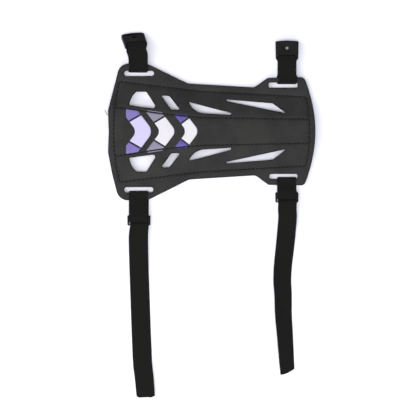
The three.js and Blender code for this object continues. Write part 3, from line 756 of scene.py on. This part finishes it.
stitch = {  # real thread is about half as thick with a pitch nearer 3 mm, drawn coarse so that both show
    "pitch": 3.6, "gap": 1.3, "thread": 1.0, "looseRadius": 0.22,
    "rise": 0.1, "underRise": 0.05, "dive": 0.6,
    "blunt": 0.6,  # below 1 flattens the arch of a stitch
    "sides": 6, "parts": 8,
}
# end of thread that sticks out past the elbow end: x, y, z
looseEnd = [(0.6, 14.0, 6.6), (-0.5, 14.3, 6.4), (-1.5, 15.6, 6.6), (-2.1, 17.2, 7.0), (-2.9, 18.6, 7.1)]


def tubeShape(path, radius, sides):
    points, faces = [], []
    count = len(path)
    for i, p in enumerate(path):
        along = (path[min(i + 1, count - 1)] - path[max(i - 1, 0)]).normalized()
        side = along.cross(Vector((0, 0, 1))).normalized()
        lift = side.cross(along)
        for k in range(sides):
            angle = 2 * math.pi * k / sides
            points.append(tuple(p + side * (radius * math.cos(angle)) + lift * (radius * math.sin(angle))))
    for i in range(count - 1):
        for k in range(sides):
            a, b = i * sides + k, i * sides + (k + 1) % sides
            faces.append([a, a + sides, b + sides, b])
    faces.append(list(range(sides)))
    faces.append([(count - 1) * sides + k for k in reversed(range(sides))])
    return points, faces


def alongLine(line, distance):  # point at a distance along a line
    for a, b in zip(line, line[1:]):
        step = (b - a).length
        if distance <= step:
            return a.lerp(b, distance / step)
        distance -= step
    return line[-1]


def buildStitches():
    shapes = []
    for line in seams:
        length = sum((b - a).length for a, b in zip(line, line[1:]))
        count = round(length / stitch["pitch"])
        pitch = length / count
        for n in range(count):
            shares = np.linspace(0, 1, stitch["parts"] + 1)
            start, run = n * pitch + stitch["gap"] / 2, pitch - stitch["gap"]
            flat = [alongLine(line, start + run * t) for t in shares]
            spots = np.array([tuple(p) for p in flat])
            arch = np.sin(np.pi * shares) ** stitch["blunt"]
            sunk = stitch["dive"] * (1 - arch)
            over = faceHeight(spots) + stitch["rise"] * arch - sunk
            under = undersideHeight(spots[:, 0], spots[:, 1]) - stitch["underRise"] * arch + sunk
            for heights in (over, under):
                path = [Vector((p.x, p.y, z)) for p, z in zip(flat, heights)]
                shapes.append(tubeShape(path, stitch["thread"] / 2, stitch["sides"]))
    shapes.append(tubeShape([Vector(p) for p in looseEnd], stitch["looseRadius"], stitch["sides"]))
    points, faces = joinShapes(shapes)
    piece = meshPiece("panel_lockstitch", [toRow(*p) for p in points], faces, [thread])
    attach(piece, "root")
    print("stitches:", len(shapes))


buildPanel()
buildChevrons()
buildStitches()


# Elastic straps, swept along the routes that the solids have

strap = {
    "width": 15.8, "thick": 1.1,
    "edge": 0.5, "edgeLeast": 0.02,  # rounding of the selvedge
    "ribs": 14, "ribHeight": 0.05, "perRib": 4,
    "step": 1.1, "routeParts": 40,
    "gap": 0.3, "snug": 0.2,  # room round a tab, and round a bar or between two layers
    "parting": (1.6, 2.4),  # past the tab, where the two layers of a short strap draw apart
    "barRun": 2, "spreadRun": 8,  # stretch over which the webbing is drawn out to its spread
    "bowSkew": 1.5,  # above 1 puts the bow of a short strap nearer its clip
    "melt": 0.3, "cutRings": 4,  # sealed bead on a cut end, and rings that lean with the cut
    "beads": ((0.5, 0.85), (0.85, 0.55), (1.0, 0.2)),  # share of the bead's length, thickness there
    "beadNarrow": 0.03,
}
bend = {"slider": 0.75, "slot": 0.9, "bar": 0.8, "climb": 1, "leave": 1.4, "free": 3}  # radii on the routes
level = {"over": 1.2, "under": 1.8}  # how far past a tab the webbing stays level
leads = {"bar": 1.4, "barLeave": 1, "slider": 0.9}  # straight run beside a bar
clipBar = {"length": 2, "low": 1.3, "high": 2.9, "slack": 0.8}
sliderBar, sliderHeight = 1.05, 2.0
halfWeb = strap["thick"] / 2
sliderSlot = 2 * strap["thick"] + 3 * strap["snug"]
tabEdges = {"elbow": guard["elbowTab"], "wrist": guard["wristTab"]}
shortStraps = {  # place, where the clip's bar lies, its tilt in degrees, and how the webbing hangs between
    "elbow": {"x": 25.4, "reach": 12.2, "height": 12.7, "pitch": -46, "yaw": 6.5, "roll": -13.5, "ramp": 6,
              "apart": (0.5, 0.5, 0.5, 0.5), "bow": 0.9, "spread": 1},
    "wrist": {"x": 152, "reach": 15.2, "height": 3.4, "pitch": 0, "yaw": 0, "roll": 0, "ramp": 9,
              "apart": (0.6, 0.05, 0.05, 0.05), "bow": 0, "spread": 1.05},
}
longStraps = {  # place, slider, twist of the free end in degrees, and its cut: share of the half width, push
    "elbow": {"x": 25.9, "reach": 13.2, "roll": -16, "rollStart": 128, "slack": 0, "apart": -0.5,
              "spread": 1.04,
              "cut": [(-1, -0.6), (-0.75, 0.1), (-0.55, 0.7), (-0.35, 0.2), (0.8, 0.1), (1, -1)]},
    "wrist": {"x": 151.7, "reach": 6, "roll": 38, "rollStart": 36, "slack": 0.3, "apart": -0.5,
              "spread": 1,
              "cut": [(-1, -1.7), (-0.5, -0.4), (0, 0.8), (0.5, 1.5), (1, 1.5)]},
}
tails = {  # distance from the tab edge, drift towards the wrist end, height of the lower edge
    "elbow": [(27, -0.6, 4.5), (32, -0.9, 3.9), (50, -0.75, 1.8), (66, -0.35, 0.5), (84, 0.2, 0),
              (105, 0.9, 0), (125, 1.6, 0), (141, 2.4, 0), (152, 3.7, 0.2), (167.6, 5, 0.6)],
    "wrist": [(21, -0.2, 4.6), (26, 0.1, 4), (40, -0.9, 2.2), (56, -2.5, 0.6), (70, -4, 0.05),
              (82, -4.5, 0.05), (92, -3.9, 0.05), (110, -3.6, 0.05), (129, -2.3, 0.05), (147, -1.2, 0.05),
              (158.5, -0.4, 0.05)],
}
underTab = halfWeb
overTab = guard["foot"] + guard["thick"] + strap["gap"] + halfWeb


def slotBorder(end, side):  # from the tab's edge to the outer rim of its slot
    slot = strapSlots[end, side]
    return tabEdges[end] - abs(slot["y"]) - slot["width"] / 2


def shortPath(row, border, pitch):  # closed loop round the tab's border and the clip's bar
    inSlot = -border - strap["gap"] - halfWeb
    wrapTop = clipBar["high"] + strap["snug"] + halfWeb
    wrapLow = clipBar["low"] - strap["snug"] - halfWeb
    wrapFar = clipBar["length"] + clipBar["slack"] + halfWeb
    cos, sin = math.cos(pitch), math.sin(pitch)

    def fromClip(y, z, r):
        return (row["reach"] + y * cos - z * sin, row["height"] + y * sin + z * cos, r)

    return roundCorners([
        (inSlot, underTab, bend["slot"]), (inSlot, overTab, bend["slot"]),
        (level["over"], overTab, bend["free"]),
        fromClip(-leads["bar"], wrapTop, bend["leave"]), fromClip(wrapFar, wrapTop, bend["bar"]),
        fromClip(wrapFar, wrapLow, bend["bar"]), fromClip(leads["barLeave"], wrapLow, bend["bar"]),
        (level["under"], underTab, bend["free"]),
    ])


# from the sewn end round the middle bar, over the tab, back under it and through the slider
def longPath(near, border, slack):
    layer = strap["thick"] + strap["snug"]
    wrapLow = halfWeb + layer
    wrapTop = wrapLow + halfWeb + strap["snug"] + sliderHeight + strap["snug"] + halfWeb
    inSlot = -border - strap["gap"] - halfWeb - slack
    strandIn = near + sliderBar + strap["snug"] + halfWeb
    wrapIn = strandIn + layer
    wrapOut = near + 2 * sliderBar + sliderSlot + strap["snug"] + halfWeb
    strandOut = wrapOut + layer
    tight, climb = bend["slider"], bend["climb"]
    return roundCorners([
        (wrapIn, wrapTop - layer, 0), (wrapIn, wrapLow, tight),
        (wrapOut, wrapLow, tight), (wrapOut, wrapTop, tight),
        (wrapIn + strap["snug"], wrapTop, climb), (strandIn, wrapTop + layer, climb),
        (near - leads["slider"], wrapTop + layer, climb),
        (level["over"], overTab + strap["snug"], bend["free"]),
        (inSlot, overTab, bend["slot"]), (inSlot, underTab, bend["slot"]),
        (level["under"], underTab, bend["free"]), (near - leads["slider"], wrapTop, bend["leave"]),
        (strandIn, wrapTop, tight), (strandIn, halfWeb, tight),
        (strandOut, halfWeb, tight), (strandOut, wrapTop, tight),
        (near + 3 * sliderBar + 2 * sliderSlot + leads["slider"], wrapTop, 0),
    ], closed=False)


def bentPlan(u, yaw, ramp):  # a strap that turns by yaw over its ramp and then runs straight
    heading = yaw * max(0.0, min(1.0, u / ramp))
    if not yaw or u <= 0:
        return 0.0, u, 0.0
    radius, past = ramp / yaw, max(u - ramp, 0)
    x = -radius * (1 - math.cos(heading)) - past * math.sin(heading)
    return x, radius * math.sin(heading) + past * math.cos(heading), heading


def smoothRoute(points, step):  # centripetal spline through route points, in even steps
    ends = [points[0] * 2 - points[1], *points, points[-1] * 2 - points[-2]]
    fine = []
    for p0, p1, p2, p3 in zip(ends, ends[1:], ends[2:], ends[3:]):
        d0, d1, d2 = ((b - a).length ** 0.5 for a, b in ((p0, p1), (p1, p2), (p2, p3)))
        t1 = ((p1 - p0) / d0 - (p2 - p0) / (d0 + d1) + (p2 - p1) / d1) * d1
        t2 = ((p2 - p1) / d1 - (p3 - p1) / (d1 + d2) + (p3 - p2) / d2) * d1
        square, cube = p2 * 3 - p1 * 3 - t1 * 2 - t2, p1 * 2 - p2 * 2 + t1 + t2
        for k in range(strap["routeParts"]):
            t = k / strap["routeParts"]
            fine.append(p1 + t1 * t + square * t ** 2 + cube * t ** 3)
    fine.append(points[-1])
    length = sum((b - a).length for a, b in zip(fine, fine[1:]))
    count = round(length / step)
    return [alongLine(fine, length * k / count) for k in range(count + 1)]


def neighbours(items, i, closed):
    count = len(items)
    before = items[(i - 1) % count if closed else max(i - 1, 0)]
    after = items[(i + 1) % count if closed else min(i + 1, count - 1)]
    return before, after


def webSection():  # outline of the webbing across its width: across, up
    span, edge = strap["width"] / 2, strap["edge"]
    steps = strap["ribs"] * strap["perRib"]
    top = []
    for k in range(steps + 1):
        v = -span + strap["width"] * k / steps
        rib = strap["ribHeight"] * (math.cos(2 * math.pi * strap["ribs"] * v / strap["width"]) - 1) / 2
        past = max(0.0, abs(v) - (span - edge)) / edge
        top.append((v, (halfWeb + rib) * math.sqrt(max(strap["edgeLeast"], 1 - past ** 2))))
    return top[::-1] + [(v, -t) for v, t in top]


def sweepStrap(stations, cut=None):  # stations hold place, heading, roll, pivot, run, rise and spread
    closed = cut is None  # a strap with a cut end is open
    section = webSection()
    count = len(section)
    places, lengths = [], [0.0]
    rings = []
    for i, s in enumerate(stations):
        right = Vector((math.cos(s["heading"]), math.sin(s["heading"]), 0))
        ahead = Vector((-right.y, right.x, 0))
        cos, sin = math.cos(s["roll"]), math.sin(s["roll"])
        across = right * cos + Vector((0, 0, sin))
        above = Vector((0, 0, cos)) - right * sin
        centre = Vector((s["x"], s["y"], s["pivot"])) + above * (s["z"] - s["pivot"])
        along = (ahead * s["run"] + above * s["rise"]).normalized()
        normal = across.cross(along)
        across *= s["spread"]
        toEnd = 0 if closed else max(0, 1 - (len(stations) - 1 - i) / strap["cutRings"])
        rings.append((centre, across, along, normal, toEnd))
        places.append(centre)
        if i:
            lengths.append(lengths[-1] + (centre - places[-2]).length)
    total = lengths[-1] + ((places[0] - places[-1]).length if closed else 0)
    levels = [(ring, u, 1.0, 1.0, 0.0) for ring, u in zip(rings, lengths)]
    if not closed:  # sealed beads on both cut ends
        for share, thin in strap["beads"]:
            narrow, past = 1 - strap["beadNarrow"] * share, strap["melt"] * share
            levels.append((rings[-1], total, thin, narrow, past))
            levels.insert(0, (rings[0], 0.0, thin, narrow, -past))
    shares, pushes = zip(*(cut or [(0, 0)]))
    trims = [float(np.interp(2 * v / strap["width"], shares, pushes)) for v, t in section]
    points = []
    for (centre, across, along, normal, toEnd), u, thin, narrow, past in levels:
        for (v, t), trim in zip(section, trims):
            flat = centre + across * (v * narrow) + normal * (t * thin)
            points.append(flat + along * (trim * toEnd + past))
    faces, uvs = [], []
    heights = [v for v, t in section] + [section[0][0]]
    stops = [u + past for ring, u, thin, narrow, past in levels] + [total]
    for i in range(len(levels) if closed else len(levels) - 1):
        j = (i + 1) % len(levels)
        for k in range(count):
            m = (k + 1) % count
            faces.append([i * count + k, j * count + k, j * count + m, i * count + m])
            uvs += [(stops[i], heights[k]), (stops[i + 1], heights[k]),
                    (stops[i + 1], heights[k + 1]), (stops[i], heights[k + 1])]
    if not closed:
        start = (len(levels) - 1) * count
        faces += [list(range(count)), [start + k for k in reversed(range(count))]]
        uvs += [(0, v) for v, t in section] + [(total, v) for v, t in reversed(section)]
    return points, faces, uvs, total


def finishStrap(name, node, shape, place, turnRound):
    points, faces, uvs, total = shape
    side = -1 if turnRound else 1
    moved = [toRow(place[0] + side * p.x, place[1] + side * p.y, p.z) for p in points]
    piece = meshPiece(name, moved, faces, [webbing])
    layer = piece.data.uv_layers.new(name="webbingMm")
    layer.data.foreach_set("uv", np.array(uvs, np.float32).ravel())
    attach(piece, "root")
    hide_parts(node)
    print(name, "length", round(total, 1), "mm,", len(faces), "faces")


def buildShortStrap(end, row):
    pitch, yaw, roll = (math.radians(row[key]) for key in ("pitch", "yaw", "roll"))
    path = densify(shortPath(row, slotBorder(end, "upper"), pitch), strap["step"])
    nearBar = (row["reach"] - strap["barRun"], row["reach"])
    stations = []
    for i, p in enumerate(path):
        before, after = neighbours(path, i, True)
        slope = (after - before).normalized()
        x, y, heading = bentPlan(p.x, yaw, row["ramp"])
        apart = float(np.interp(p.x, (*strap["parting"], *nearBar), row["apart"]))
        share = max(0.0, min(1.0, p.x / (row["reach"] - leads["bar"])))
        bow = row["bow"] * math.sin(math.pi * share ** strap["bowSkew"])
        spread = float(np.interp(p.x, nearBar, (1, row["spread"])))
        stations.append({"x": x + bow + apart * slope.x, "y": y, "z": p.y, "heading": heading,
                         "roll": roll * share ** 2, "pivot": row["height"],
                         "run": slope.x, "rise": slope.y, "spread": spread})
    shape = sweepStrap(stations)
    finishStrap(f"short_elastic_{end}", f"short_strap_{end}", shape, (row["x"], tabEdges[end]), False)


def buildLongStrap(end, row):
    path = longPath(row["reach"], slotBorder(end, "lower"), row["slack"])
    path = densify(path, strap["step"], closed=False)
    stations = []
    for i, p in enumerate(path[:-1]):
        before, after = neighbours(path, i, False)
        slope = (after - before).normalized()
        stations.append({"x": row["apart"] * slope.x, "y": p.x, "z": p.y, "heading": 0, "roll": 0,
                         "pivot": p.y, "run": slope.x, "rise": slope.y, "spread": 1})
    start = path[-1]
    route = [Vector((start.x, 0, start.y - halfWeb))] + [Vector(p) for p in tails[end]]
    finalRoll, endU = math.radians(row["roll"]), route[-1].x
    trail = []
    for p in smoothRoute(route, strap["step"]):
        roll = finalRoll * max(0.0, min(1.0, (p.x - row["rollStart"]) / (endU - row["rollStart"])))
        raised = strap["width"] / 2 * abs(math.sin(roll)) + halfWeb * math.cos(roll)
        trail.append((p.x, p.y, max(p.z, 0) + raised, roll))
    for i, (u, drift, z, roll) in enumerate(trail):
        before, after = neighbours(trail, i, False)
        ahead, aside, climb = (b - a for a, b in zip(before[:3], after))
        spread = float(np.interp(u, (start.x, start.x + strap["spreadRun"]), (1, row["spread"])))
        stations.append({"x": row["apart"] - drift, "y": u, "z": z, "heading": math.atan2(aside, ahead),
                         "roll": roll, "pivot": z,
                         "run": math.hypot(ahead, aside), "rise": climb, "spread": spread})
    shape = sweepStrap(stations, row["cut"])
    finishStrap(f"long_elastic_{end}", f"long_strap_{end}", shape, (row["x"], -tabEdges[end]), True)


for strapEnd in ("elbow", "wrist"):
    buildShortStrap(strapEnd, shortStraps[strapEnd])
    buildLongStrap(strapEnd, longStraps[strapEnd])


# Clips and adjusters: the moulded solids with their edges eased

moulding = {
    "weld": 0.002, "plane": 2,  # distance of points that are one, angle between faces that are one
    "sharp": 32, "ease": 0.22, "segments": 3, "profile": 0.5,  # the edges that are eased, and how
    "flat": 1.0, "crease": 30,  # area in mm2 past which a face stays plane, angle of an edge that stays sharp
}


def buildMoulding(name, node):
    shape = bmesh.new()
    shape.from_mesh(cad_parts[node].data)
    bmesh.ops.remove_doubles(shape, verts=shape.verts, dist=moulding["weld"] * mm)
    plane = math.radians(moulding["plane"])
    bmesh.ops.dissolve_limit(shape, angle_limit=plane, verts=shape.verts, edges=shape.edges)
    sharp = [e for e in shape.edges
             if len(e.link_faces) == 2 and e.calc_face_angle() > math.radians(moulding["sharp"])]
    bmesh.ops.bevel(shape, geom=sharp, offset=moulding["ease"] * mm, segments=moulding["segments"],
                    profile=moulding["profile"], affect="EDGES", clamp_overlap=True)
    bmesh.ops.triangulate(shape, faces=[f for f in shape.faces if len(f.verts) > 4])
    mesh = bpy.data.meshes.new(name)
    shape.to_mesh(mesh)
    shape.free()
    mesh.materials.append(plastic)
    for face in mesh.polygons:
        face.use_smooth = face.area < moulding["flat"] * mm ** 2
    mesh.set_sharp_from_angle(angle=math.radians(moulding["crease"]))
    piece = addObject(name, mesh)
    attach(piece, "root")
    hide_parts(node)
    print(name, len(mesh.polygons), "faces")


for strapEnd in ("elbow", "wrist"):
    buildMoulding(f"clip_{strapEnd}", f"buckle_{strapEnd}")
    buildMoulding(f"adjuster_{strapEnd}", f"slider_{strapEnd}")


# Floor, light and camera

stage = {
    "floor": "#f1f1fb", "floorReach": 3.0,  # white card with a trace of blue
    "sky": "#f2f4ff", "skyStrength": 0.13,
    "lights": [  # place and size in metres, power in watts
        {"name": "lamp_above", "place": (0.0, -0.15, 1.5), "size": 0.5, "power": 11.6},
        {"name": "window_left", "place": (-0.85, 0.0, 1.1), "size": 1.1, "power": 9.7},
        {"name": "wall_left", "place": (-1.2, 0.0, 0.7), "size": 1.0, "power": 4.2},
        {"name": "wall_right", "place": (1.2, 0.0, 0.7), "size": 1.0, "power": 6.0},
        {"name": "wall_near", "place": (0.0, -0.6, 0.42), "size": 0.7, "power": 3.5},
    ],
    # long lens straight above, what it looks at in millimetres, and its turn in degrees
    "lens": 150, "sensor": 36, "pixels": 416, "mmPerPixel": 0.85,
    "centre": (-3.25, 5.55, 4.0), "roll": -0.12,
}


def buildFloor():
    mesh = bpy.data.meshes.new("floor")
    reach = stage["floorReach"]
    corners = [(-reach, -reach, 0), (reach, -reach, 0), (reach, reach, 0), (-reach, reach, 0)]
    mesh.from_pydata(corners, [], [(0, 1, 2, 3)])
    material, tree, shader = newMaterial("matte_white_card", {
        "Roughness": 0.95, "Specular IOR Level": 0.1, "Base Color": linear(stage["floor"])})
    mesh.materials.append(material)
    floor = addObject("floor", mesh)


def buildLights():
    world = bpy.data.worlds.new("studio")
    world.use_nodes = True
    background = world.node_tree.nodes["Background"]
    background.inputs["Color"].default_value = linear(stage["sky"])
    background.inputs["Strength"].default_value = stage["skyStrength"]
    bpy.context.scene.world = world
    for row in stage["lights"]:
        data = bpy.data.lights.new(row["name"], "AREA")
        data.energy, data.size = row["power"], row["size"]
        light = addObject(row["name"], data)
        light.location = row["place"]
        light.rotation_euler = (-Vector(row["place"])).to_track_quat("-Z", "Y").to_euler()  # at the origin


def buildCamera():
    data = bpy.data.cameras.new("overhead")
    data.lens, data.sensor_width = stage["lens"], stage["sensor"]
    camera = addObject("overhead", data)
    x, y, z = stage["centre"]
    width = stage["pixels"] * stage["mmPerPixel"]
    camera.location = Vector((x, y, z + width * stage["lens"] / stage["sensor"])) * mm
    camera.rotation_euler = (0, 0, math.radians(stage["roll"]))
    bpy.context.scene.camera = camera


buildFloor()
buildLights()
buildCamera()
bpy.context.scene.view_settings.view_transform = "Standard"
print("stage set")
